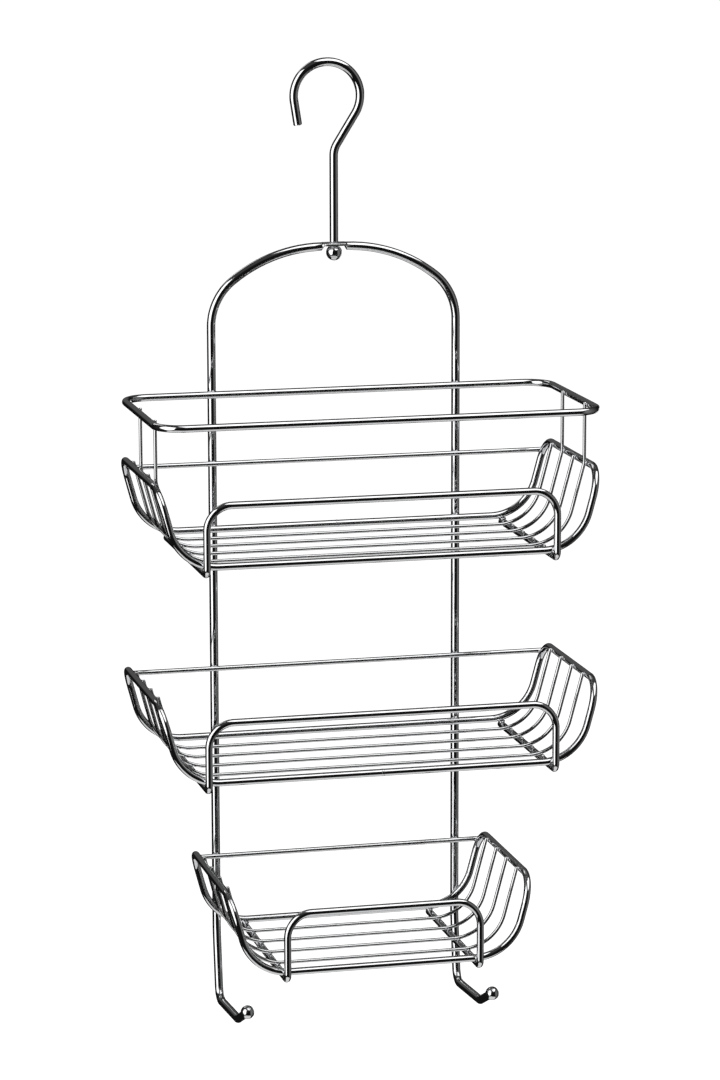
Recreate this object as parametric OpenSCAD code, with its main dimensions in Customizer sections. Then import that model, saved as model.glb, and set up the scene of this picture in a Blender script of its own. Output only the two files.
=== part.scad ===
// Hanging shower caddy of welded, chrome-plated steel wire.
// Origin: the crown of the hanger hook's inside, where it rests on the shower arm.
// +Z is up, +X is to the right and -Y is the front of the baskets.

/* [Wire] */
// Diameter of the frame wire and of the hanger hook
frame_d = 6; // [5:0.5:8]
// Diameter of the rims, the guards and the upper rail
rail_d = 5; // [4:0.5:6]
// Diameter of the wire across the back of each basket
back_wire_d = 3.5; // [3:0.5:4]
// Diameter of the floor wires
floor_d = 2.5; // [2:0.5:3]
// Depth to which crossing wires sink into each other where they are welded
weld_sink = 0.4; // [0.2:0.1:0.6]

/* [Hanger hook] */
// Inner radius of the hook's loop
hook_inner_r = 20.2; // [16:0.1:24]
// Sideways distance from the middle of the loop to the shank
shank_x = 4.6; // [0:0.2:8]
// Lean of the neck that joins the loop to the shank
neck_angle = 32; // [25:1:40]
// Radius of the bend between the neck and the shank
neck_bend_r = 15; // [10:1:25]
// Inward lean of the hook's straight tail
tail_angle = 9; // [0:1:15]
// Length of the hook's straight tail
tail_len = 16; // [8:1:25]
// Diameter of the reduced end of the shank, which turns in the eye
spigot_d = 4.8; // [4:0.1:5]
// Diameter of the ball nut under the eye
ball_nut_d = 11; // [10:0.5:14]

/* [Frame] */
// Drop from the hook's seat to the top of the arch
arch_drop = 123; // [100:1:150]
// Drop from the hook's seat to the lower end of the frame
frame_drop = 651.5; // [640:0.5:680]
// Distance between the middles of the two uprights
upright_gap = 173; // [160:1:190]
// Half the length of the arch's flat crown, out to the corner of its first bend
crown_x = 43.7; // [40:0.1:48]
// Height of the arch's shoulders
shoulder_h = 33.4; // [30:0.1:38]
// Radius of the long bend over the crown
crown_bend_r = 101; // [80:1:105]
// Radius of the bend at each shoulder
shoulder_bend_r = 40; // [30:1:45]
// Thickness of the flattened eye in the middle of the crown
eye_t = 2.4; // [2:0.1:3]
// Width of the flattened eye from front to back
eye_w = 11.8; // [10:0.2:14]
// Length of the flattened eye along the crown
eye_len = 16; // [14:1:20]
// Diameter that rounds off the flattened eye's corners
eye_disc_d = 18; // [16:0.5:20]

/* [Towel hooks] */
// Height over which each upright leans forward above its towel hook
lean_h = 48; // [40:1:60]
// Forward lean of that stretch
lean_angle = 8.6; // [5:0.1:12]
// Radius of the gentle bend where that stretch begins
lean_bend_r = 80; // [60:5:100]
// Radius of the bend from the upright into the towel hook
heel_bend_r = 10; // [8:1:14]
// Length of the towel hook's long leg
leg_len = 62.5; // [50:0.5:70]
// Rise of the long leg
leg_angle = 4.3; // [0:0.1:10]
// Length from the towel hook's low corner to the middle of its ball
tip_len = 33.5; // [25:0.5:40]
// Rise of the tip
tip_angle = 25; // [20:1:45]
// Radius of the bend at the towel hook's low corner
toe_bend_r = 8; // [6:1:12]
// Diameter of the ball on the end of each towel hook
tip_ball_d = 9.5; // [8:0.5:11]

/* [Baskets] */
// Drop from the hook's seat to the floor rails of the top, middle and bottom baskets
floor_drops = [315.4, 461.4, 595.4]; // [300:0.1:610]
// Width of the top and middle baskets between the middles of their side bars
wide_w = 301; // [280:1:320]
// Width of the bottom basket between the middles of its side bars
narrow_w = 209; // [200:1:240]
// Depth between the middles of the back and front floor rails
basket_depth = 129; // [120:1:140]
// Height of the side bars above the floor rails
rim_h = 53; // [50:0.5:60]
// Slope of the basket's ends
end_angle = 75; // [70:1:85]
// Radius of the bends from the floor into the ends
end_bend_r = 33; // [25:1:35]
// Radius of the rim's back corners
back_corner_r = 15; // [12:1:16]
// Radius of the rim's front corners
front_corner_r = 19; // [12:1:22]
// Heights of the back wires above the floor rails, from the top basket down
back_wire_heights = [45.5, 47.5, 47]; // [44:0.5:48]
// How far the ends of the floor wires stand above the tops of the bars that they are welded to
tip_stand = -1; // [-1:0.5:3]

/* [Guards] */
// Height of the guards' top bar above the floor rails
guard_h = 41.5; // [35:0.5:45]
// Width between the middles of the legs of the two wide guards
wide_guard_w = 239; // [220:1:250]
// Width between the middles of the legs of the bottom guard
narrow_guard_w = 134; // [120:1:140]
// Radius of the guards' top corners
guard_corner_r = 17; // [12:1:22]

/* [Upper rail] */
// Height of the upper rail above the top basket's floor rails
upper_rail_h = 93.5; // [80:0.5:110]
// Depth between the middles of the upper rail's back and front bars
upper_rail_depth = 134; // [125:1:145]
// Radius of the upper rail's corners
upper_corner_r = 18; // [14:1:24]

/* [Hidden] */
LEVELS = ["top", "middle", "bottom"];
WIRES = [1:4];

CHROME = "silver";
WIRE_FN = 32;
BEND_FN = 96;
BALL_FN = 64;

// A bend is this much thicker than the straight wire, which runs into it by RUN_IN
BEND_SWELL = 0.02;
RUN_IN = 0.05;

// Hanger hook and swivel
hook_r = hook_inner_r + frame_d / 2;
hook_z = -hook_inner_r;
neck_top = [hook_r * cos(neck_angle), 0, hook_z - hook_r * sin(neck_angle)];
neck_heading = [sin(neck_angle), 0, cos(neck_angle)];
neck_foot_z = neck_top.z - (neck_top.x - shank_x) / tan(neck_angle);
tail_root = [-hook_r * cos(tail_angle), 0, hook_z - hook_r * sin(tail_angle)];
tail_heading = [sin(tail_angle), 0, -cos(tail_angle)];
end_play = 0.1;
eye_top_z = -arch_drop + frame_d / 2;
eye_bottom_z = eye_top_z - eye_t;
eye_hole_d = spigot_d + 0.15;
eye_lap = 1;
nut_flat_h = 4.75;
nut_z = eye_bottom_z - end_play - nut_flat_h;
spigot_depth = 2.5;

// Places of the welded wires, with y = 0 in the middle of the uprights
rail_pitch = rail_d - weld_sink;
wire_pitch = (rail_d + floor_d) / 2 - weld_sink;
back_y = weld_sink - (frame_d + rail_d) / 2;
front_y = back_y - basket_depth;
guard_y = front_y - rail_pitch;
upper_front_y = back_y - upper_rail_depth;
back_wire_y = weld_sink - (frame_d + back_wire_d) / 2;
cross_z = -rail_pitch;
floor_z = cross_z + wire_pitch;

// Towel hooks, in the plane of each upright
heel = [0, -lean_h * tan(lean_angle), -frame_drop];
toe = heel + leg_len * [0, -cos(leg_angle), sin(leg_angle)];
ball_middle = toe + tip_len * [0, -cos(tip_angle), sin(tip_angle)];

function basket_w(level) = level == 2 ? narrow_w : wide_w;
function guard_w(level) = level == 2 ? narrow_guard_w : wide_guard_w;
function floor_wire_y(i) = back_y - basket_depth * i / 5;
function has_post(level, i) = level == 0 && i % 2 == 0;
function mirrored(points) = concat(
    points,
    [for (i = [len(points) - 1:-1:0]) [-points[i].x, points[i].y, points[i].z]]
);

function unit(v) = v / norm(v);
function turn(a, b, c) = atan2(norm(cross(b - a, c - b)), (b - a) * (c - b));
function setback(a, b, c, r) = r * tan(turn(a, b, c) / 2);

// A straight piece of round wire from a to b
module straight(a, b, d) {
    along = b - a;
    translate(a)
        rotate([0, atan2(norm([along.x, along.y]), along.z), atan2(along.y, along.x)])
            cylinder(h = norm(along), d = d, $fn = WIRE_FN);
}

// The bend of centreline radius r that rounds corner b of the route a, b, c
module bend(a, b, c, r, d) {
    heading = unit(b - a);
    hinge = unit(cross(b - a, c - b));
    inward = cross(hinge, heading);
    middle = b - heading * setback(a, b, c, r) + inward * r;
    multmatrix([for (k = [0:2]) [-inward[k], heading[k], hinge[k], middle[k]]])
        rotate_extrude(angle = turn(a, b, c), $fn = BEND_FN)
            translate([r, 0])
                circle(d = d + BEND_SWELL, $fn = WIRE_FN);
}

// A wire of diameter d through the corner points, rounded by bends[i] at point i.
// A closed wire joins its last point to its first.
module wire(points, bends, d, closed = false) {
    n = len(points);
    function at(i) = points[(i + n) % n];
    function ends_at(i) = !closed && (i == 0 || i == n - 1);
    function cut(i) = ends_at(i) ? 0 : setback(at(i - 1), at(i), at(i + 1), bends[i % n]) - RUN_IN;
    for (i = [0:n - (closed ? 1 : 2)]) {
        heading = unit(at(i + 1) - at(i));
        straight(at(i) + heading * cut(i), at(i + 1) - heading * cut(i + 1), d);
    }
    for (i = [closed ? 0 : 1:n - (closed ? 1 : 2)])
        bend(at(i - 1), at(i), at(i + 1), bends[i], d);
}

// Moves a basket's drawing from the middle of its floor plane to its level
module at_level(level)
    translate([shank_x, 0, -floor_drops[level]])
        children();

// Loop, neck and shank of the hook, ending in the spigot that turns in the eye
module hanger_hook() {
    shank_foot_z = eye_top_z + end_play;
    color(CHROME) {
        translate([0, 0, hook_z])
            rotate([90, 0, 0])
                rotate([0, 0, -neck_angle])
                    rotate_extrude(angle = 180 + neck_angle + tail_angle, $fn = BEND_FN)
                        translate([hook_r, 0])
                            circle(d = frame_d + BEND_SWELL, $fn = WIRE_FN);
        straight(tail_root - RUN_IN * tail_heading, tail_root + tail_len * tail_heading, frame_d);
        wire(
            [neck_top + RUN_IN * neck_heading, [shank_x, 0, neck_foot_z], [shank_x, 0, shank_foot_z]],
            [0, neck_bend_r, 0],
            frame_d
        );
        translate([shank_x, 0, nut_z - spigot_depth])
            cylinder(h = shank_foot_z - nut_z + spigot_depth, d = spigot_d, $fn = WIRE_FN);
    }
}

// Ball with a flat top and a blind bore, fixed on the end of the spigot
module ball_nut() {
    color(CHROME)
        translate([shank_x, 0, nut_z])
            difference() {
                sphere(d = ball_nut_d, $fn = BALL_FN);
                translate([0, 0, nut_flat_h])
                    cylinder(h = ball_nut_d, d = ball_nut_d, $fn = WIRE_FN);
                translate([0, 0, -spigot_depth])
                    cylinder(h = ball_nut_d, d = spigot_d, $fn = WIRE_FN);
            }
}

// Flattened middle of the crown, pierced for the hook's spigot
module eye() {
    translate([0, 0, eye_bottom_z])
        intersection() {
            cylinder(h = eye_t, d = eye_disc_d, $fn = BALL_FN);
            translate([-eye_len / 2, -eye_w / 2, -eye_t])
                cube([eye_len, eye_w, 3 * eye_t]);
        }
}

// Arch, uprights and towel hooks, bent from one length of wire
module frame() {
    color(CHROME)
        translate([shank_x, 0, 0])
            difference() {
                union() {
                    for (side = [-1, 1]) {
                        upright = [side * upright_gap / 2, 0, 0];
                        wire(
                            [
                                [side * (eye_len / 2 - eye_lap), 0, -arch_drop],
                                [side * crown_x, 0, -arch_drop],
                                upright + [0, 0, -arch_drop - shoulder_h],
                                upright + [0, 0, heel.z + lean_h],
                                upright + heel,
                                upright + toe,
                                upright + ball_middle
                            ],
                            [0, crown_bend_r, shoulder_bend_r, lean_bend_r, heel_bend_r, toe_bend_r, 0],
                            frame_d
                        );
                    }
                    eye();
                }
                translate([0, 0, eye_bottom_z - eye_t])
                    cylinder(h = 3 * eye_t, d = eye_hole_d, $fn = WIRE_FN);
            }
}

// Drilled ball, fixed on the end of a towel hook
module towel_hook_ball(side) {
    color(CHROME)
        translate([shank_x + side * upright_gap / 2, ball_middle.y, ball_middle.z])
            difference() {
                sphere(d = tip_ball_d, $fn = BALL_FN);
                straight([0, 0, 0], tip_ball_d * [0, cos(tip_angle), -sin(tip_angle)], frame_d);
            }
}

// Closed rail above the top basket
module upper_rail() {
    x = wide_w / 2;
    color(CHROME)
        at_level(0)
            translate([0, 0, upper_rail_h])
                wire(
                    [[-x, back_y, 0], [x, back_y, 0], [x, upper_front_y, 0], [-x, upper_front_y, 0]],
                    [for (i = [0:3]) upper_corner_r],
                    rail_d,
                    closed = true
                );
}

// Closed rim of a basket: two floor rails, four rising legs and two side bars
module rim(level) {
    top_x = basket_w(level) / 2;
    foot_x = top_x - rim_h / tan(end_angle);
    legs = [
        [foot_x, back_y, 0],
        [top_x, back_y, rim_h],
        [top_x, front_y, rim_h],
        [foot_x, front_y, 0]
    ];
    radii = [end_bend_r, back_corner_r, front_corner_r, end_bend_r];
    color(CHROME)
        at_level(level)
            wire(
                mirrored(legs),
                concat(radii, [for (i = [3:-1:0]) radii[i]]),
                rail_d,
                closed = true
            );
}

// Front guard of a basket, with its ends turned back under the floor as cross-bars
module guard(level) {
    x = guard_w(level) / 2;
    tail_y = back_y + rail_d / 2;
    color(CHROME)
        at_level(level)
            wire(
                mirrored([[x, tail_y, cross_z], [x, guard_y, cross_z], [x, guard_y, guard_h]]),
                [0, rail_pitch, guard_corner_r, guard_corner_r, rail_pitch, 0],
                rail_d
            );
}

// Straight wire across the back of a basket, from one back corner of the rim to the other
module back_wire(level) {
    height = back_wire_heights[level];
    x = basket_w(level) / 2 - (rim_h - height) / tan(end_angle);
    color(CHROME)
        at_level(level)
            straight([-x, back_wire_y, height], [x, back_wire_y, height], back_wire_d);
}

// Floor wire i of a basket, counted from the back. Its ends rise inside the side bars,
// and where it has posts they go on straight up to the upper rail.
module floor_wire(level, i) {
    y = floor_wire_y(i);
    bar_x = basket_w(level) / 2;
    wall_x = bar_x - wire_pitch / sin(end_angle);
    foot_x = wall_x - (rim_h - floor_z) / tan(end_angle);
    tip_z = rim_h + rail_d / 2 + tip_stand;
    tip_x = wall_x + (tip_z - rim_h) / tan(end_angle);
    knee_z = rim_h + wire_pitch * tan((90 - end_angle) / 2);
    post_x = bar_x - wire_pitch;
    post_z = upper_rail_h + rail_d / 2 + tip_stand;
    foot_bend_r = end_bend_r - floor_d;
    knee_bend_r = 3 * rail_d;
    color(CHROME)
        at_level(level)
            if (has_post(level, i))
                wire(
                    mirrored([[post_x, y, post_z], [post_x, y, knee_z], [foot_x, y, floor_z]]),
                    [0, knee_bend_r, foot_bend_r, foot_bend_r, knee_bend_r, 0],
                    floor_d
                );
            else
                wire(
                    mirrored([[tip_x, y, tip_z], [foot_x, y, floor_z]]),
                    [0, foot_bend_r, foot_bend_r, 0],
                    floor_d
                );
}

hanger_hook();
ball_nut();
frame();
towel_hook_ball(-1);  // towel_hook_ball_left
towel_hook_ball(1);  // towel_hook_ball_right
upper_rail();
for (level = [0:2]) {
    rim(level);
    guard(level);
    back_wire(level);
    for (i = WIRES)
        floor_wire(level, i);
}
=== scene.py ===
"""Looks of the hanging wire shower caddy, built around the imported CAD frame. Lengths are in metres."""

import math

import bpy
from mathutils import Matrix, Vector, noise


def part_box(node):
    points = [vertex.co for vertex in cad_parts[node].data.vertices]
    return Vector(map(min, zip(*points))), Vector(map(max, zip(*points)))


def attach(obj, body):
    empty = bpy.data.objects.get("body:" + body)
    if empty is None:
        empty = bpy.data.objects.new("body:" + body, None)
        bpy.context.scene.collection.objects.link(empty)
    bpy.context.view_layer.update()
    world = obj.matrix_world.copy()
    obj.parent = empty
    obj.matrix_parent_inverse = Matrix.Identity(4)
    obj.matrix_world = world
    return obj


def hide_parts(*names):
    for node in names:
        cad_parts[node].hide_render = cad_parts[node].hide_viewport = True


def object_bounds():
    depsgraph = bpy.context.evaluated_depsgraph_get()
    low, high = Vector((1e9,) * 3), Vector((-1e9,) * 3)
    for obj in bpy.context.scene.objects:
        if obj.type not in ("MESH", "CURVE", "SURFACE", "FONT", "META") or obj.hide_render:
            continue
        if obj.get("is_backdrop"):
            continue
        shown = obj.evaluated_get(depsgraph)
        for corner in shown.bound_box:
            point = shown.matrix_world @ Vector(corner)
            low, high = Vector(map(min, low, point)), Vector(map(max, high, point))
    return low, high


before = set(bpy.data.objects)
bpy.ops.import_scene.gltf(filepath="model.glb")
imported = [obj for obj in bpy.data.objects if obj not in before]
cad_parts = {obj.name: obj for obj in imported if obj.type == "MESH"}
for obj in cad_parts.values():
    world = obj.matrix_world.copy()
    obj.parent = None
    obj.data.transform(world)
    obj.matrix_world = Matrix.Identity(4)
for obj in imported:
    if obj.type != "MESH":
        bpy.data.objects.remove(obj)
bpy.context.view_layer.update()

MM = 0.001
ALONG_X = Vector((1, 0, 0))
ALONG_Y = Vector((0, 1, 0))
ALONG_Z = Vector((0, 0, 1))

LEVELS = ("top", "middle", "bottom")
WIRES = (1, 2, 3, 4)
SIDE_NAMES = {-1: "left", 1: "right"}
SIDES = tuple(SIDE_NAMES)

# Radii of the wires, and how far welded wires sink into each other
FRAME_R = 3.0 * MM
RAIL_R = 2.5 * MM
BACK_R = 1.75 * MM
FLOOR_R = 1.25 * MM
SPIGOT_R = 2.4 * MM
NUT_R = 5.5 * MM
SINK = 0.4 * MM

# Bends, angles and lengths that the boxes of the nodes don't give
NECK_ANGLE = math.radians(32)
NECK_BEND = 15 * MM
TAIL_ANGLE = math.radians(9)
TAIL_LEN = 16 * MM
END_PLAY = 0.1 * MM
CROWN_X = 43.7 * MM
SHOULDER_H = 33.4 * MM
CROWN_BEND = 101 * MM
SHOULDER_BEND = 40 * MM
EYE_T = 2.4 * MM
EYE_W = 11.8 * MM
EYE_LEN = 16 * MM
EYE_HOLE_R = 2.475 * MM
LEAN_H = 48 * MM
LEAN_ANGLE = math.radians(8.6)
LEAN_BEND = 80 * MM
HEEL_BEND = 10 * MM
LEG_ANGLE = math.radians(4.3)
TIP_ANGLE = math.radians(25)
TIP_LEN = 33.5 * MM
TOE_BEND = 8 * MM
END_ANGLE = math.radians(75)
END_BEND = 33 * MM
BACK_CORNER = 15 * MM
FRONT_CORNER = 19 * MM
GUARD_CORNER = 17 * MM
UPPER_CORNER = 18 * MM
KNEE_BEND = 15 * MM

# Details that only the looks have
EYE_BULGE = 9.0 * MM
EYE_CROWN = 0.7 * MM
EYE_EDGE = 0.4 * MM
EYE_HOLE_EDGE = 0.2 * MM
PRESS_LEN = 3.0 * MM
PRESS_SPREAD = 0.55
PRESS_COVER = 0.3 * MM
WELD_SPREAD = 1.02
WELD_HEIGHT = 0.75
WELD_THICKEST = 1.1 * MM
SEAM_HALF = 0.9 * MM
SEAM_PROUD = 0.12 * MM
SEAM_SINK = 0.02 * MM
MOUTH_SPREAD = 1.02
MOUTH_INSIDE = 0.9
MOUTH_DEPTH = 0.6 * MM

# How finely the meshes are divided, and the angles under which they are shaded smooth
LOOP_STEPS = 76
BALL_STEPS = 40
PRESS_STEPS = 6
EYE_SIDES = 64
EYE_STEPS = 4
SEAM_STEPS = 4
BEND_STEP_DEGREES = 3
LONGEST_STEP = 0.02
SMOOTH_UNDER = math.radians(40)
WELD_SMOOTH_UNDER = math.radians(80)

# The camera looks slightly down from the front left. Its place is a direction, as towards() takes it.
CAMERA_DIRECTION = (-13.88, 11.04)
CAMERA_ROLL = math.radians(-0.13)
CAMERA_DISTANCE = 2.8026
AIM_FROM_CENTRE = Vector((17.9, 68.0, -5.2)) * MM
LENS = 89.45
SENSOR_HEIGHT = 24

# Chrome varies between two tints. Its textures have scales, spans of noise that count, and depths.
DULLER_TINT = (0.655, 0.66, 0.672, 1)
BRIGHTER_TINT = (0.69, 0.692, 0.70, 1)
CLOUD_SCALE = 120.0
CLOUD_SPAN = (0.3, 0.7)
CLOUD_LEAST, CLOUD_MOST = 0.7, 1.3
SPOT_SCALE = 900.0
SPOT_SPAN = (0.58, 0.75)
SPOT_MOST = 0.6
LINE_SCALE = 40.0
LINE_STRETCH = (0.4, 1.6, 1.0)
LINE_DEPTH = 0.04 * MM
WAVE_SCALE = 55.0
WAVE_DEPTH = 0.2 * MM
WAVE_STRENGTH = 0.12

# What reflections see of the world: an axis, where a ramp on it starts and ends, and its two values
RIGHT_SIDE = ("X", 0.5, 0.8, 0.0, 1.0)
RIGHT_GLOW = ("Y", -0.9, 0.6, 0.29, 0.0)
REAR_SIDE = ("Y", 0.8, 0.93, 0.0, 1.0)
REAR_GLOW = ("Z", 0.0, 0.18, 0.0, 0.11)
LEFT_GLOW = ("X", -0.95, -0.7, 0.03, 0.01)
CEILING_GLOW = ("Z", 0.3, 0.75, 0.0, 0.06)
BACKDROP_GLOW = 1.05

# Panels that only reflections see: a name, the direction faced, a glow, and the directions of the corners
PANEL_REACH = 3.2
PANELS = (
    (
        "left_softbox", (-76, 12), 1.9,
        ((-92, 50), (-95, 8), (-81, -12), (-74, -24), (-56, -30), (-37, -12), (-33, 44)),
    ),
    (
        "upper_softbox", (50, 62), 1.9,
        ((-60, 78), (104, 54), (94, 44), (40, 36), (14, 38), (-4, 58)),
    ),
    (
        "rear_low_softbox", (139, -12), 1.2,
        ((128, 2), (150, 2), (150, -26), (128, -26)),
    ),
    (
        "rear_high_softbox", (202, 38), 1.2,
        ((192, 50), (214, 50), (210, 26), (192, 28)),
    ),
    (
        "table", (0, -80), 0.87,
        ((-76, -42), (-33, -40), (20, -46), (62, -48), (108, -66), (150, -52), (-160, -52), (-125, -64)),
    ),
)
FLOOR_DROP = 0.95
FLOOR_HALF = 40
FLOOR_BRIGHTNESS = 0.9
FLOOR_GLOW = 1.0


# ---------------------------------------------------------------- camera


def towards(azimuth, elevation):
    """A direction, from degrees. Azimuth 0 is the front, 90 the right; elevation 90 is straight up."""
    a, e = math.radians(azimuth), math.radians(elevation)
    return Vector((math.sin(a) * math.cos(e), -math.cos(a) * math.cos(e), math.sin(e)))


def make_camera():
    """The camera is placed and aimed from the object's own box."""
    low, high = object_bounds()
    aim = (low + high) / 2 + AIM_FROM_CENTRE
    back = towards(*CAMERA_DIRECTION)
    data = bpy.data.cameras.new("camera")
    data.sensor_fit = "VERTICAL"
    data.sensor_height = SENSOR_HEIGHT
    data.lens = LENS
    data.clip_start = 0.05
    data.clip_end = 60
    camera = bpy.data.objects.new("camera", data)
    camera.location = aim + back * CAMERA_DISTANCE
    turn = (-back).to_track_quat("-Z", "Y") @ Matrix.Rotation(CAMERA_ROLL, 3, "Z").to_quaternion()
    camera.rotation_mode = "QUATERNION"
    camera.rotation_quaternion = turn
    bpy.context.scene.collection.objects.link(camera)
    bpy.context.scene.camera = camera


# ---------------------------------------------------------------- meshes


class Mesh:
    """Collects faces, with a length and a turn around the wire as UV."""

    def __init__(self):
        self.points = []
        self.faces = []
        self.uvs = []

    def ring(self, points):
        """Adds the points of a ring and gives their numbers."""
        first = len(self.points)
        self.points.extend(points)
        return list(range(first, first + len(points)))

    def skin(self, rings, lengths, closed=False):
        """Joins each ring to the next, and the last to the first where the skin is closed."""
        count = len(rings[0])
        pairs = len(rings) if closed else len(rings) - 1
        for k in range(pairs):
            a, b = rings[k], rings[(k + 1) % len(rings)]
            u0, u1 = lengths[k], lengths[k + 1]
            for j in range(count):
                n = (j + 1) % count
                self.faces.append((a[j], a[n], b[n], b[j]))
                v0, v1 = j / count, (j + 1) / count
                self.uvs.append(((u0, v0), (u0, v1), (u1, v1), (u1, v0)))

    def cap(self, ring, flip=False):
        """Closes a ring with one face."""
        loop = tuple(reversed(ring)) if flip else tuple(ring)
        self.faces.append(loop)
        self.uvs.append(tuple((0.0, j / len(loop)) for j in range(len(loop))))

    def build(self, name, smooth_under=SMOOTH_UNDER):
        """Makes the object. It is shaded smooth where its faces meet at less than the angle."""
        data = bpy.data.meshes.new(name)
        data.from_pydata([tuple(p) for p in self.points], [], self.faces)
        layer = data.uv_layers.new(name="along")
        layer.data.foreach_set("uv", [c for face in self.uvs for uv in face for c in uv])
        data.validate()
        data.shade_smooth()
        data.set_sharp_from_angle(angle=smooth_under)
        piece = bpy.data.objects.new(name, data)
        bpy.context.scene.collection.objects.link(piece)
        return piece


def circle(count):
    """The angles of the points of a ring."""
    return [2 * math.pi * j / count for j in range(count)]


def corner(a, b, c, radius):
    """The points of the bend that rounds corner b, or b itself where there is no bend."""
    heading, leaving = (b - a).normalized(), (c - b).normalized()
    angle = heading.angle(leaving)
    straight = 1e-4
    if radius <= 0 or angle < straight:
        return [b]
    back = radius * math.tan(angle / 2)
    inward = (leaving - heading * heading.dot(leaving)).normalized()
    middle = b - heading * back + inward * radius
    steps = max(3, math.ceil(math.degrees(angle) / BEND_STEP_DEGREES))
    turns = [angle * k / steps for k in range(steps + 1)]
    return [middle - inward * radius * math.cos(t) + heading * radius * math.sin(t) for t in turns]


def rounded(points, radii, closed=False):
    """The centreline through the corner points, with each corner rounded and long straights divided."""
    n = len(points)
    line = []
    for i in range(n):
        if not closed and i in (0, n - 1):
            line.append(points[i])
        else:
            line.extend(corner(points[i - 1], points[i], points[(i + 1) % n], radii[i]))
    fine = []
    count = len(line) if closed else len(line) - 1
    for i in range(count):
        a, b = line[i], line[(i + 1) % len(line)]
        parts = max(1, round((b - a).length / LONGEST_STEP))
        fine.extend(a.lerp(b, k / parts) for k in range(parts))
    if not closed:
        fine.append(line[-1])
    return fine


def carried(line, closed):
    """A tangent and a normal at each point of a centreline. The normals turn only as the line bends."""
    n = len(line)
    tangents = []
    for i in range(n):
        before = line[i - 1] if closed or i > 0 else line[i]
        after = line[(i + 1) % n] if closed or i < n - 1 else line[i]
        tangents.append((after - before).normalized())
    steep = 0.9
    up = ALONG_Z if abs(tangents[0].z) < steep else -ALONG_Y
    normals = [(up - tangents[0] * up.dot(tangents[0])).normalized()]
    for i in range(1, n):
        normal = tangents[i - 1].rotation_difference(tangents[i]) @ normals[-1]
        normals.append((normal - tangents[i] * normal.dot(tangents[i])).normalized())
    if closed:
        last = tangents[-1].rotation_difference(tangents[0]) @ normals[-1]
        slip = math.atan2(tangents[0].dot(last.cross(normals[0])), last.dot(normals[0]))
        normals = [Matrix.Rotation(slip * i / n, 3, tangents[i]) @ normals[i] for i in range(n)]
    return tangents, normals


def sweep(mesh, line, radius, closed=False, sides=24, ends=(0.12, 0.12), shape=None):
    """Sweeps a round wire along a centreline.

    ends are the chamfers of its cut ends, as shares of the radius. shape(length, x, y) may move the
    points of a ring, where length is the ring's distance along the wire.
    """
    tangents, normals = carried(line, closed)
    lengths = [0.0]
    for i in range(1, len(line)):
        lengths.append(lengths[-1] + (line[i] - line[i - 1]).length)
    whole = lengths[-1]

    def ring_at(point, i, r, length):
        side = tangents[i].cross(normals[i])
        points = []
        for t in circle(sides):
            x, y = r * math.cos(t), r * math.sin(t)
            if shape is not None:
                x, y = shape(length, x, y)
            points.append(point + normals[i] * x + side * y)
        return mesh.ring(points)

    rings = [ring_at(point, i, radius, lengths[i]) for i, point in enumerate(line)]
    if closed:
        lengths.append(whole + (line[0] - line[-1]).length)
        mesh.skin(rings, lengths, closed)
        return
    first, last = radius * ends[0], radius * ends[1]
    if first > 0:
        full = ring_at(line[0] + tangents[0] * first, 0, radius, first)
        small = ring_at(line[0], 0, radius - first, 0.0)
        rings[:1] = [small, full]
        lengths.insert(0, 0.0)
    if last > 0:
        full = ring_at(line[-1] - tangents[-1] * last, -1, radius, whole - last)
        small = ring_at(line[-1], -1, radius - last, whole)
        rings[-1:] = [full, small]
        lengths.append(whole)
    mesh.skin(rings, lengths)
    mesh.cap(rings[0], flip=True)
    mesh.cap(rings[-1])


def lathe(mesh, profile, origin, axis, sides=48):
    """Turns a profile of (distance from the axis, height) round an axis through origin."""
    axis = axis.normalized()
    across = axis.orthogonal().normalized()
    other = axis.cross(across)
    spokes = [across * math.cos(t) + other * math.sin(t) for t in circle(sides)]
    rings, lengths = [], []
    for radius, height in profile:
        rings.append(mesh.ring([origin + axis * height + spoke * radius for spoke in spokes]))
        lengths.append(height)
    mesh.skin(rings, lengths)
    mesh.cap(rings[0], flip=True)
    mesh.cap(rings[-1])


def ball_arc(radius, start):
    """The profile of a ball, from an angle off its top down to a pinprick short of its foot."""
    pinprick = 0.03
    span = math.pi - pinprick - start
    turns = [start + span * k / BALL_STEPS for k in range(BALL_STEPS + 1)]
    return [(radius * math.sin(t), radius * math.cos(t)) for t in turns]


def lump(mesh, centre, along, across, size, seed):
    """A small uneven bead of weld metal. size is its half-lengths along, across and out."""
    rows, columns = 8, 12
    unevenness, grain = 0.28, 1.7
    place = Vector((seed * 3.1, seed * 7.7, seed * 1.3))
    along = along.normalized()
    across = (across - along * across.dot(along)).normalized()
    out = along.cross(across)
    rings, lengths = [], []
    for i in range(1, rows):
        p = math.pi * i / rows
        points = []
        for t in circle(columns):
            unit = Vector((math.sin(p) * math.cos(t), math.sin(p) * math.sin(t), math.cos(p)))
            grow = 1 + unevenness * noise.noise(unit * grain + place)
            reach = [half * share * grow for half, share in zip(size, unit)]
            points.append(centre + along * reach[0] + across * reach[1] + out * reach[2])
        rings.append(mesh.ring(points))
        lengths.append(p * size[2])
    mesh.skin(list(reversed(rings)), lengths)
    mesh.cap(rings[0])
    mesh.cap(rings[-1], flip=True)


# ---------------------------------------------------------------- materials


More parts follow.
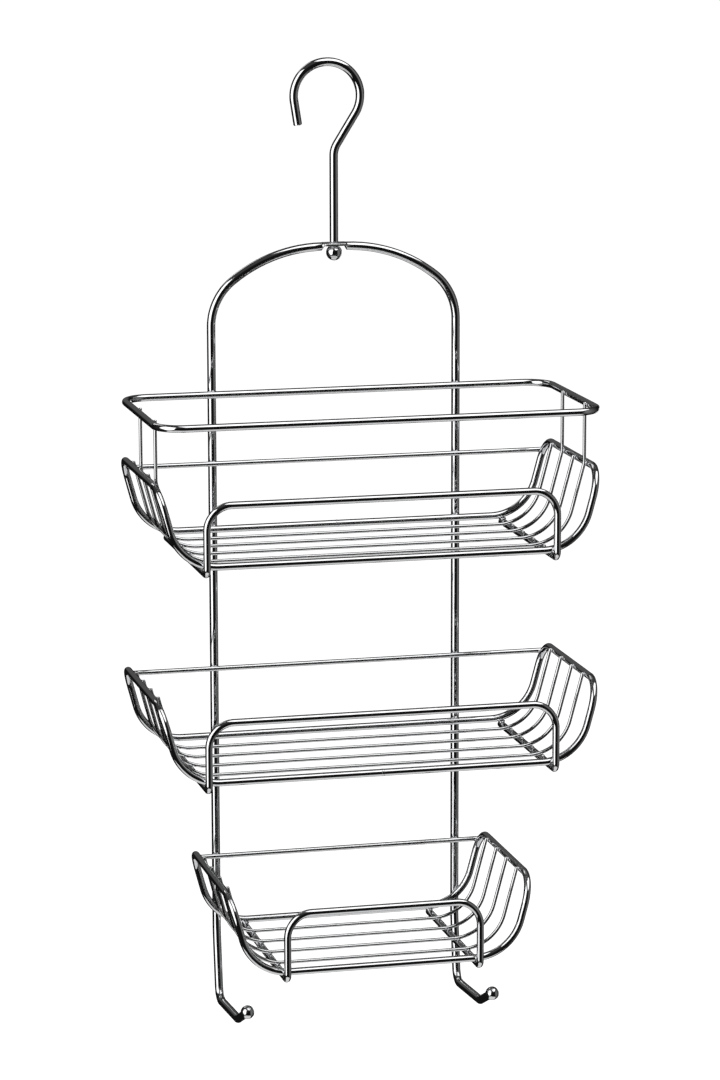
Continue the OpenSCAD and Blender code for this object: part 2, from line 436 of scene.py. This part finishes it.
def chrome(name, roughness, drawn, seed):
    """Chrome plate over drawn steel wire: faint lines along the wire, dull spots and slow waviness."""
    material = bpy.data.materials.new(name)
    material.use_nodes = True
    nodes, links = material.node_tree.nodes, material.node_tree.links
    shader = nodes["Principled BSDF"]
    shader.inputs["Metallic"].default_value = 1.0
    shader.inputs["IOR"].default_value = 2.5

    place = nodes.new("ShaderNodeTexCoord")

    def textured(scale, detail, stretch=(1, 1, 1), source="Object"):
        mapping = nodes.new("ShaderNodeMapping")
        mapping.inputs["Location"].default_value = (seed * 1.7, seed * 0.9, seed * 2.3)
        mapping.inputs["Scale"].default_value = stretch
        cloud = nodes.new("ShaderNodeTexNoise")
        cloud.inputs["Scale"].default_value = scale
        cloud.inputs["Detail"].default_value = detail
        links.new(place.outputs[source], mapping.inputs["Vector"])
        links.new(mapping.outputs["Vector"], cloud.inputs["Vector"])
        return cloud.outputs["Fac"]

    def tinted(source, start, end):
        node = nodes.new("ShaderNodeValToRGB")
        stops = zip(node.color_ramp.elements, (start, end), (DULLER_TINT, BRIGHTER_TINT))
        for element, position, tint in stops:
            element.position = position
            element.color = tint
        links.new(source, node.inputs["Fac"])
        return node.outputs["Color"]

    def spread(source, start, end, low, high):
        node = nodes.new("ShaderNodeMapRange")
        node.inputs["From Min"].default_value = start
        node.inputs["From Max"].default_value = end
        node.inputs["To Min"].default_value = low
        node.inputs["To Max"].default_value = high
        links.new(source, node.inputs["Value"])
        return node.outputs["Result"]

    def bumped(height, strength, depth):
        node = nodes.new("ShaderNodeBump")
        node.inputs["Strength"].default_value = strength
        node.inputs["Distance"].default_value = depth
        links.new(height, node.inputs["Height"])
        return node

    clouds = textured(CLOUD_SCALE, 4.0)
    links.new(tinted(clouds, *CLOUD_SPAN), shader.inputs["Base Color"])

    spots = textured(SPOT_SCALE, 3.0)
    rough = nodes.new("ShaderNodeMath")
    rough.operation = "ADD"
    uneven = spread(clouds, *CLOUD_SPAN, roughness * CLOUD_LEAST, roughness * CLOUD_MOST)
    spotted = spread(spots, *SPOT_SPAN, 0.0, roughness * SPOT_MOST)
    links.new(uneven, rough.inputs[0])
    links.new(spotted, rough.inputs[1])
    links.new(rough.outputs["Value"], shader.inputs["Roughness"])

    lines = textured(LINE_SCALE, 2.0, stretch=LINE_STRETCH, source="UV")
    waves = textured(WAVE_SCALE, 1.0)
    fine = bumped(lines, drawn, LINE_DEPTH)
    slow = bumped(waves, WAVE_STRENGTH, WAVE_DEPTH)
    links.new(fine.outputs["Normal"], slow.inputs["Normal"])
    links.new(slow.outputs["Normal"], shader.inputs["Normal"])
    return material


FINISH = {
    "hook": chrome("chrome_hook", 0.035, 0.05, 1),
    "frame": chrome("chrome_frame", 0.035, 0.05, 2),
    "rails": chrome("chrome_rails", 0.035, 0.05, 3),
    "thin_wires": chrome("chrome_thin_wires", 0.04, 0.06, 4),
    "balls": chrome("chrome_balls", 0.02, 0.02, 5),
}
WELD_FINISH = chrome("chrome_welds", 0.14, 0.3, 6)
PRESSED_FINISH = chrome("chrome_pressed", 0.3, 0.2, 7)


def finish_piece(piece, body, slot, nodes=(), material=None):
    """Gives a piece its material, from its slot unless one is given, puts it under its body and hides the
    CAD nodes that it stands for.
    """
    piece.data.materials.append(material or FINISH[slot])
    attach(piece, body)
    if nodes:
        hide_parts(*nodes)


# ---------------------------------------------------------------- places


frame_low, frame_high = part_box("frame")
nut_low, nut_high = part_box("ball_nut")
hook_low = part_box("hanger_hook")[0]
CX = (frame_low.x + frame_high.x) / 2
UPRIGHT = (frame_high.x - frame_low.x) / 2 - FRAME_R
SHANK_X = (nut_low.x + nut_high.x) / 2
EYE_BOTTOM = nut_high.z + END_PLAY
EYE_TOP = EYE_BOTTOM + EYE_T
CROWN_Z = EYE_TOP - FRAME_R


def mirrored(points):
    """The points, and then the same points mirrored, from the last to the first."""
    return points + [Vector((2 * CX - p.x, p.y, p.z)) for p in reversed(points)]


# ---------------------------------------------------------------- hook


def make_hook():
    """The loop, neck and shank, and the thinner spigot that goes through the eye into the ball."""
    loop_r = -hook_low.x - FRAME_R
    loop_middle = Vector((0, 0, FRAME_R - loop_r))
    start, end = math.pi + TAIL_ANGLE, -NECK_ANGLE
    turns = [start + (end - start) * k / LOOP_STEPS for k in range(LOOP_STEPS + 1)]
    loop = [loop_middle + loop_r * Vector((math.cos(t), 0, math.sin(t))) for t in turns]
    tail = loop[0] + TAIL_LEN * Vector((math.sin(TAIL_ANGLE), 0, -math.cos(TAIL_ANGLE)))
    neck = loop[-1]
    foot = Vector((SHANK_X, 0, neck.z - (neck.x - SHANK_X) / math.tan(NECK_ANGLE)))
    shank = rounded([neck, foot, Vector((SHANK_X, 0, EYE_TOP + END_PLAY))], [0, NECK_BEND, 0])
    mesh = Mesh()
    sweep(mesh, [tail, tail.lerp(loop[0], 0.5)] + loop + shank[1:], FRAME_R, sides=32, ends=(0.16, 0.1))
    into_shank, above_foot = 0.5 * MM, 4 * MM
    heights = (EYE_TOP + into_shank, EYE_BOTTOM, nut_low.z + above_foot)
    sweep(mesh, [Vector((SHANK_X, 0, z)) for z in heights], SPIGOT_R)
    finish_piece(mesh.build("hook_wire"), "hook", "hook", ["hanger_hook"])


def make_nut():
    """A polished ball with a small flat on top and a turned edge round it."""
    centre = Vector((SHANK_X, 0, nut_low.z + NUT_R))
    flat = nut_high.z - centre.z
    top = math.acos(flat / NUT_R)
    flat_share, ball_share = 0.94, 1.06
    edge = (NUT_R * math.sin(top) * flat_share, flat)
    profile = [(SPIGOT_R, flat), edge] + ball_arc(NUT_R, top * ball_share)
    mesh = Mesh()
    lathe(mesh, list(reversed(profile)), centre, ALONG_Z)
    finish_piece(mesh.build("swivel_ball"), "hook", "balls", ["ball_nut"])


# ---------------------------------------------------------------- frame


def frame_corners(side):
    """The corner points of one half of the frame, from the eye out to the ball."""
    low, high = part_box("towel_hook_ball_" + SIDE_NAMES[side])
    ball_r = (high.z - low.z) / 2
    x = CX + side * UPRIGHT
    ball = Vector((x, low.y + ball_r, (low.z + high.z) / 2))
    toe = ball + TIP_LEN * Vector((0, math.cos(TIP_ANGLE), -math.sin(TIP_ANGLE)))
    turn = math.pi / 2 - LEAN_ANGLE + LEG_ANGLE
    set_back = HEEL_BEND * math.tan(turn / 2)
    dip = set_back * math.cos(LEAN_ANGLE) + HEEL_BEND * math.sin(LEAN_ANGLE) - HEEL_BEND
    heel = Vector((x, -LEAN_H * math.tan(LEAN_ANGLE), frame_low.z + FRAME_R - dip))
    inside_eye = 1.6 * MM
    return [
        Vector((CX + side * (EYE_LEN / 2 - inside_eye), 0, CROWN_Z)),
        Vector((CX + side * CROWN_X, 0, CROWN_Z)),
        Vector((x, 0, CROWN_Z - SHOULDER_H)),
        Vector((x, 0, heel.z + LEAN_H)),
        heel,
        toe,
        ball,
    ]


def pressed(length, x, y):
    """The end beside the eye is squeezed to an oval as thin as the plate, and its sides spread."""
    share = min(1.0, max(0.0, 1 - length / PRESS_LEN))
    share = share * share * (3 - 2 * share)
    lowest = EYE_BOTTOM + PRESS_COVER - CROWN_Z
    squeezed = lowest + (FRAME_R - lowest) * (x + FRAME_R) / (2 * FRAME_R)
    return x + (squeezed - x) * share, y * (1 + PRESS_SPREAD * share)


def make_frame():
    """The two halves of the bent wire and, with a finish of its own, the pressed plate between them."""
    radii = [0, CROWN_BEND, SHOULDER_BEND, LEAN_BEND, HEEL_BEND, TOE_BEND, 0]
    mesh = Mesh()
    for side in SIDES:
        line = rounded(frame_corners(side), radii)
        start = line[0]
        heading = (line[1] - start).normalized()
        squeezed = [start + heading * PRESS_LEN * k / PRESS_STEPS for k in range(PRESS_STEPS)]
        beyond = [point for point in line if (point - start).length >= PRESS_LEN]
        sweep(mesh, squeezed + beyond, FRAME_R, sides=32, ends=(0, 0.05), shape=pressed)
    wire_faces = len(mesh.faces)
    add_eye(mesh)
    piece = mesh.build("frame_wire")
    finish_piece(piece, "caddy", "frame", ["frame"])
    piece.data.materials.append(PRESSED_FINISH)
    for face in piece.data.polygons[wire_faces:]:
        face.material_index = 1


def add_eye(mesh):
    """The pressed plate: a bulged outline with a crowned top and soft edges, pierced for the spigot."""
    nearly_none = 1e-6
    rings = []

    def outline(t, inset):
        x, y = math.cos(t), math.sin(t)
        reach = min(
            (EYE_LEN / 2 - inset) / max(nearly_none, abs(x)),
            (EYE_W / 2 - inset) / max(nearly_none, abs(y)),
            EYE_BULGE - inset,
        )
        return Vector((CX + x * reach, y * reach, 0))

    def hole(t, grow):
        return Vector((CX + math.cos(t) * (EYE_HOLE_R + grow), math.sin(t) * (EYE_HOLE_R + grow), 0))

    def part_way(t, share):
        return hole(t, EYE_HOLE_EDGE).lerp(outline(t, EYE_EDGE), share)

    def upper(curve, offset, depth):
        points = [curve(t, offset) for t in circle(EYE_SIDES)]
        heights = [EYE_TOP - EYE_CROWN * (p.y / (EYE_W / 2)) ** 2 - depth for p in points]
        rings.append(mesh.ring([p + ALONG_Z * z for p, z in zip(points, heights)]))

    def lower(curve, offset, rise):
        points = [curve(t, offset) for t in circle(EYE_SIDES)]
        rings.append(mesh.ring([p + ALONG_Z * (EYE_BOTTOM + rise) for p in points]))

    lower(hole, 0.0, EYE_HOLE_EDGE)
    upper(hole, 0.0, EYE_HOLE_EDGE)
    for step in range(EYE_STEPS + 1):
        upper(part_way, step / EYE_STEPS, 0.0)
    upper(outline, EYE_EDGE * 0.3, EYE_EDGE * 0.3)
    upper(outline, 0.0, EYE_EDGE)
    lower(outline, 0.0, EYE_EDGE)
    lower(outline, EYE_EDGE * 0.3, EYE_EDGE * 0.3)
    lower(outline, EYE_EDGE, 0.0)
    lower(hole, EYE_HOLE_EDGE, 0.0)
    lengths = [k * MM for k in range(len(rings) + 1)]
    mesh.skin([list(reversed(ring)) for ring in rings], lengths, closed=True)


def make_towel_balls():
    """A drilled ball on the end of each towel hook, with its mouth round the wire."""
    axis = Vector((0, -math.cos(TIP_ANGLE), math.sin(TIP_ANGLE)))
    for name in SIDE_NAMES.values():
        low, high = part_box("towel_hook_ball_" + name)
        radius = (high.z - low.z) / 2
        centre = Vector(((low.x + high.x) / 2, low.y + radius, (low.z + high.z) / 2))
        mouth = math.asin(FRAME_R / radius) * MOUTH_SPREAD
        profile = [(FRAME_R * MOUTH_INSIDE, MOUTH_DEPTH - radius * math.cos(mouth))]
        profile += [(out, -height) for out, height in ball_arc(radius, mouth)]
        mesh = Mesh()
        lathe(mesh, profile, centre, axis)
        finish_piece(mesh.build("towel_ball_" + name), "caddy", "balls", ["towel_hook_ball_" + name])


# ---------------------------------------------------------------- baskets


class Basket:
    """The places of one basket's wires, read from the boxes of its nodes."""

    def __init__(self, level):
        self.level = level
        low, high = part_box(level + "_rim")
        self.floor, self.top = low.z + RAIL_R, high.z - RAIL_R
        self.front, self.back = low.y + RAIL_R, high.y - RAIL_R
        self.half = (high.x - low.x) / 2 - RAIL_R
        self.foot = self.half - (self.top - self.floor) / math.tan(END_ANGLE)
        low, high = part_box(level + "_guard")
        self.guard_x = (high.x - low.x) / 2 - RAIL_R
        self.guard_y, self.guard_back = low.y + RAIL_R, high.y
        self.cross_z, self.guard_z = low.z + RAIL_R, high.z - RAIL_R


def has_post(level, i):
    """Two of the top basket's floor wires go on up to the upper rail."""
    return level == "top" and i % 2 == 0


def make_upper_rail():
    """The closed rail above the top basket."""
    low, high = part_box("upper_rail")
    z = (low.z + high.z) / 2
    left, right = low.x + RAIL_R, high.x - RAIL_R
    front, back = low.y + RAIL_R, high.y - RAIL_R
    points = [Vector(p) for p in ((left, back, z), (right, back, z), (right, front, z), (left, front, z))]
    mesh = Mesh()
    sweep(mesh, rounded(points, [UPPER_CORNER] * 4, closed=True), RAIL_R, closed=True)
    finish_piece(mesh.build("upper_rail_wire"), "caddy", "rails", ["upper_rail"])


def make_rim(basket):
    """The closed rim: two floor rails, four rising legs and two side bars."""
    legs = [
        Vector((CX - basket.foot, basket.back, basket.floor)),
        Vector((CX - basket.half, basket.back, basket.top)),
        Vector((CX - basket.half, basket.front, basket.top)),
        Vector((CX - basket.foot, basket.front, basket.floor)),
    ]
    radii = [END_BEND, BACK_CORNER, FRONT_CORNER, END_BEND]
    mesh = Mesh()
    sweep(mesh, rounded(mirrored(legs), radii + radii[::-1], closed=True), RAIL_R, closed=True)
    finish_piece(mesh.build(basket.level + "_rim_wire"), "caddy", "rails", [basket.level + "_rim"])


def make_guard(basket):
    """The front guard, with its ends turned back under the floor as cross-bars."""
    arms = [
        Vector((CX - basket.guard_x, basket.guard_back, basket.cross_z)),
        Vector((CX - basket.guard_x, basket.guard_y, basket.cross_z)),
        Vector((CX - basket.guard_x, basket.guard_y, basket.guard_z)),
    ]
    turn = basket.floor - basket.cross_z
    radii = [0, turn, GUARD_CORNER, GUARD_CORNER, turn, 0]
    mesh = Mesh()
    sweep(mesh, rounded(mirrored(arms), radii), RAIL_R, ends=(0.15, 0.15))
    finish_piece(mesh.build(basket.level + "_guard_wire"), "caddy", "rails", [basket.level + "_guard"])


def make_back_bar(level):
    """The straight wire across the back of a basket."""
    low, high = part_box(level + "_back_wire")
    middle = (low + high) / 2
    ends = [Vector((low.x, middle.y, middle.z)), Vector((high.x, middle.y, middle.z))]
    mesh = Mesh()
    sweep(mesh, rounded(ends, [0, 0]), BACK_R, sides=20)
    finish_piece(mesh.build(level + "_back_bar"), "caddy", "thin_wires", [level + "_back_wire"])


def make_floor_bar(basket, i):
    """Floor wire i, bent up at its ends along the side bars, or on up as posts."""
    node = f"{basket.level}_floor_wire_{i}"
    low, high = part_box(node)
    y = (low.y + high.y) / 2
    floor_z = low.z + FLOOR_R
    bend = END_BEND - 2 * FLOOR_R
    if has_post(basket.level, i):
        post_x = (high.x - low.x) / 2 - FLOOR_R
        wire_pitch = RAIL_R + FLOOR_R - SINK
        knee_z = basket.top + wire_pitch * math.tan((math.pi / 2 - END_ANGLE) / 2)
        foot_x = post_x - (knee_z - floor_z) / math.tan(END_ANGLE)
        route = [Vector((CX - post_x, y, high.z)), Vector((CX - post_x, y, knee_z))]
        radii = [0, KNEE_BEND, bend]
    else:
        tip_x = (high.x - low.x) / 2 - FLOOR_R * math.sin(END_ANGLE)
        tip_z = high.z - FLOOR_R * math.cos(END_ANGLE)
        foot_x = tip_x - (tip_z - floor_z) / math.tan(END_ANGLE)
        route = [Vector((CX - tip_x, y, tip_z))]
        radii = [0, bend]
    route.append(Vector((CX - foot_x, y, floor_z)))
    mesh = Mesh()
    sweep(mesh, rounded(mirrored(route), radii + radii[::-1]), FLOOR_R, sides=16, ends=(0.25, 0.25))
    finish_piece(mesh.build(node.replace("wire_", "bar_")), "caddy", "thin_wires", [node])


# ---------------------------------------------------------------- welds


def floor_bar_welds(basket, i):
    """Where floor wire i meets the upper rail, the side bars and the cross-bars."""
    low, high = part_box(f"{basket.level}_floor_wire_{i}")
    y = (low.y + high.y) / 2
    welds = []
    if has_post(basket.level, i):
        rail_low, rail_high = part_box("upper_rail")
        rail_z = (rail_low.z + rail_high.z) / 2
        for side in SIDES:
            spot = Vector((CX + side * ((high.x - low.x) / 2 - SINK / 2), y, rail_z))
            welds.append((spot, ALONG_Y, ALONG_Z, FLOOR_R))
    for side in SIDES:
        inward = Vector((-side * math.sin(END_ANGLE), 0, math.cos(END_ANGLE)))
        upward = Vector((side * math.cos(END_ANGLE), 0, math.sin(END_ANGLE)))
        spot = Vector((CX + side * basket.half, y, basket.top)) + inward * (RAIL_R - SINK / 2)
        welds.append((spot, ALONG_Y, upward, FLOOR_R))
        spot = Vector((CX + side * basket.guard_x, y, basket.cross_z + RAIL_R - SINK / 2))
        welds.append((spot, ALONG_X, ALONG_Y, FLOOR_R))
    return welds


def basket_welds(basket):
    """Where the rim, the guard and the back wire meet the uprights and each other."""
    low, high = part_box(basket.level + "_back_wire")
    bar = (low + high) / 2
    end_inset, end_forward = 1.6 * MM, 0.4 * MM
    bend_x = basket.foot - END_BEND * math.tan(END_ANGLE / 2)
    past_bend = max(0.0, UPRIGHT - bend_x)
    rise = END_BEND - math.sqrt(max(0.0, END_BEND**2 - past_bend**2))
    under_front = Vector((0, -1, -1)).normalized() * (RAIL_R - SINK / 2)
    welds = []
    for side in SIDES:
        upright_x, guard_x = CX + side * UPRIGHT, CX + side * basket.guard_x
        spot = Vector((upright_x, basket.back + RAIL_R - SINK / 2, basket.floor + rise))
        welds.append((spot, ALONG_X, ALONG_Z, RAIL_R))
        spot = Vector((upright_x, bar.y + BACK_R - SINK / 2, bar.z))
        welds.append((spot, ALONG_X, ALONG_Z, BACK_R))
        spot = Vector((CX + side * ((high.x - low.x) / 2 - end_inset), bar.y - end_forward, bar.z))
        welds.append((spot, ALONG_X, ALONG_Z, BACK_R))
        for y in (basket.front, basket.back):
            spot = Vector((guard_x, y, (basket.floor + basket.cross_z) / 2))
            welds.append((spot, ALONG_X, ALONG_Y, RAIL_R))
        spot = Vector((guard_x, basket.front, basket.floor)) + under_front
        welds.append((spot, ALONG_X, ALONG_Y - ALONG_Z, RAIL_R))
    return welds


def upper_rail_welds():
    """Where the upper rail meets the uprights."""
    low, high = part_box("upper_rail")
    y, z = high.y - SINK / 2, (low.z + high.z) / 2
    return [(Vector((CX + side * UPRIGHT, y, z)), ALONG_X, ALONG_Z, RAIL_R) for side in SIDES]


def add_seam(mesh, point):
    """The thin raised ring left where the two ends of a rim's wire were butt welded."""
    shares = [k / SEAM_STEPS for k in range(-SEAM_STEPS, SEAM_STEPS + 1)]
    profile = [(RAIL_R + SEAM_PROUD * (1 - h * h) - SEAM_SINK, h * SEAM_HALF) for h in shares]
    lathe(mesh, profile, point, ALONG_X, sides=24)


def make_welds(basket):
    """The beads of one basket as one piece, with its rim's seam at the middle of a floor rail."""
    name = basket.level + "_welds"
    welds = [weld for i in WIRES for weld in floor_bar_welds(basket, i)] + basket_welds(basket)
    if basket.level == "top":
        welds += upper_rail_welds()
    mesh = Mesh()
    for k, (spot, along, across, radius) in enumerate(welds):
        wide, thick = radius * WELD_SPREAD, min(radius * WELD_HEIGHT, WELD_THICKEST)
        lump(mesh, spot, along, across, (wide, wide, thick), seed=k + len(name))
    seam_y = basket.front if basket.level == "middle" else basket.back
    add_seam(mesh, Vector((CX, seam_y, basket.floor)))
    finish_piece(mesh.build(name, WELD_SMOOTH_UNDER), "caddy", "rails", material=WELD_FINISH)


# ---------------------------------------------------------------- stage


def make_world():
    """White to the camera.

    Reflections see a dark studio instead, with dim light on the right, behind, at the far left and above.
    """
    world = bpy.data.worlds.new("studio")
    bpy.context.scene.world = world
    world.use_nodes = True
    nodes, links = world.node_tree.nodes, world.node_tree.links
    nodes.clear()
    place = nodes.new("ShaderNodeTexCoord")
    split = nodes.new("ShaderNodeSeparateXYZ")
    links.new(place.outputs["Generated"], split.inputs["Vector"])

    def ramp(axis, start, end, low, high):
        span = nodes.new("ShaderNodeMapRange")
        span.interpolation_type = "SMOOTHSTEP"
        span.inputs["From Min"].default_value = start
        span.inputs["From Max"].default_value = end
        span.inputs["To Min"].default_value = low
        span.inputs["To Max"].default_value = high
        links.new(split.outputs[axis], span.inputs["Value"])
        return span.outputs["Result"]

    def combine(operation, a, b):
        node = nodes.new("ShaderNodeMath")
        node.operation = operation
        links.new(a, node.inputs[0])
        links.new(b, node.inputs[1])
        return node.outputs["Value"]

    right = combine("MULTIPLY", ramp(*RIGHT_SIDE), ramp(*RIGHT_GLOW))
    rear = combine("MULTIPLY", ramp(*REAR_SIDE), ramp(*REAR_GLOW))
    left_and_above = combine("ADD", ramp(*LEFT_GLOW), ramp(*CEILING_GLOW))
    total = combine("ADD", combine("ADD", right, rear), left_and_above)
    studio = nodes.new("ShaderNodeBackground")
    backdrop = nodes.new("ShaderNodeBackground")
    backdrop.inputs["Color"].default_value = (1, 1, 1, 1)
    backdrop.inputs["Strength"].default_value = BACKDROP_GLOW
    path = nodes.new("ShaderNodeLightPath")
    mix = nodes.new("ShaderNodeMixShader")
    out = nodes.new("ShaderNodeOutputWorld")
    links.new(total, studio.inputs["Strength"])
    links.new(path.outputs["Is Camera Ray"], mix.inputs["Fac"])
    links.new(studio.outputs["Background"], mix.inputs[1])
    links.new(backdrop.outputs["Background"], mix.inputs[2])
    links.new(mix.outputs["Shader"], out.inputs["Surface"])


def stage_plane(name, points, brightness, glow):
    """A flat matt surface of the stage, which also glows."""
    mesh = bpy.data.meshes.new(name)
    mesh.from_pydata([tuple(p) for p in points], [], [tuple(range(len(points)))])
    plane = bpy.data.objects.new(name, mesh)
    material = bpy.data.materials.new(name)
    material.use_nodes = True
    shader = material.node_tree.nodes["Principled BSDF"]
    shader.inputs["Base Color"].default_value = (brightness, brightness, brightness, 1)
    shader.inputs["Roughness"].default_value = 0.9
    shader.inputs["Specular IOR Level"].default_value = 0.0
    shader.inputs["Emission Color"].default_value = (1, 1, 1, 1)
    shader.inputs["Emission Strength"].default_value = glow
    mesh.materials.append(material)
    bpy.context.scene.collection.objects.link(plane)
    plane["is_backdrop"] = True
    return plane


def make_panel(name, facing, glow, outline):
    """A flat glowing panel, square on to one direction and cut to an outline of others."""
    low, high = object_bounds()
    centre = (low + high) / 2
    normal = towards(*facing)
    rays = [towards(*direction) for direction in outline]
    corners = [centre + ray * (PANEL_REACH / ray.dot(normal)) for ray in rays]
    panel = stage_plane(name, corners, 0.0, glow)
    panel.visible_camera = False
    panel.visible_shadow = False


def make_stage():
    """The world, the pale floor and the panels."""
    make_world()
    z = frame_low.z - FLOOR_DROP
    corners = ((-1, -1), (1, -1), (1, 1), (-1, 1))
    outline = [(x * FLOOR_HALF, y * FLOOR_HALF, z) for x, y in corners]
    floor = stage_plane("floor", outline, FLOOR_BRIGHTNESS, FLOOR_GLOW)
    floor.visible_glossy = False
    for panel in PANELS:
        make_panel(*panel)


make_camera()
make_stage()
make_hook()
make_nut()
make_frame()
make_towel_balls()
make_upper_rail()
for level in LEVELS:
    basket = Basket(level)
    make_rim(basket)
    make_guard(basket)
    make_back_bar(level)
    for i in WIRES:
        make_floor_bar(basket, i)
    make_welds(basket)

bpy.context.scene.view_settings.view_transform = "Standard"
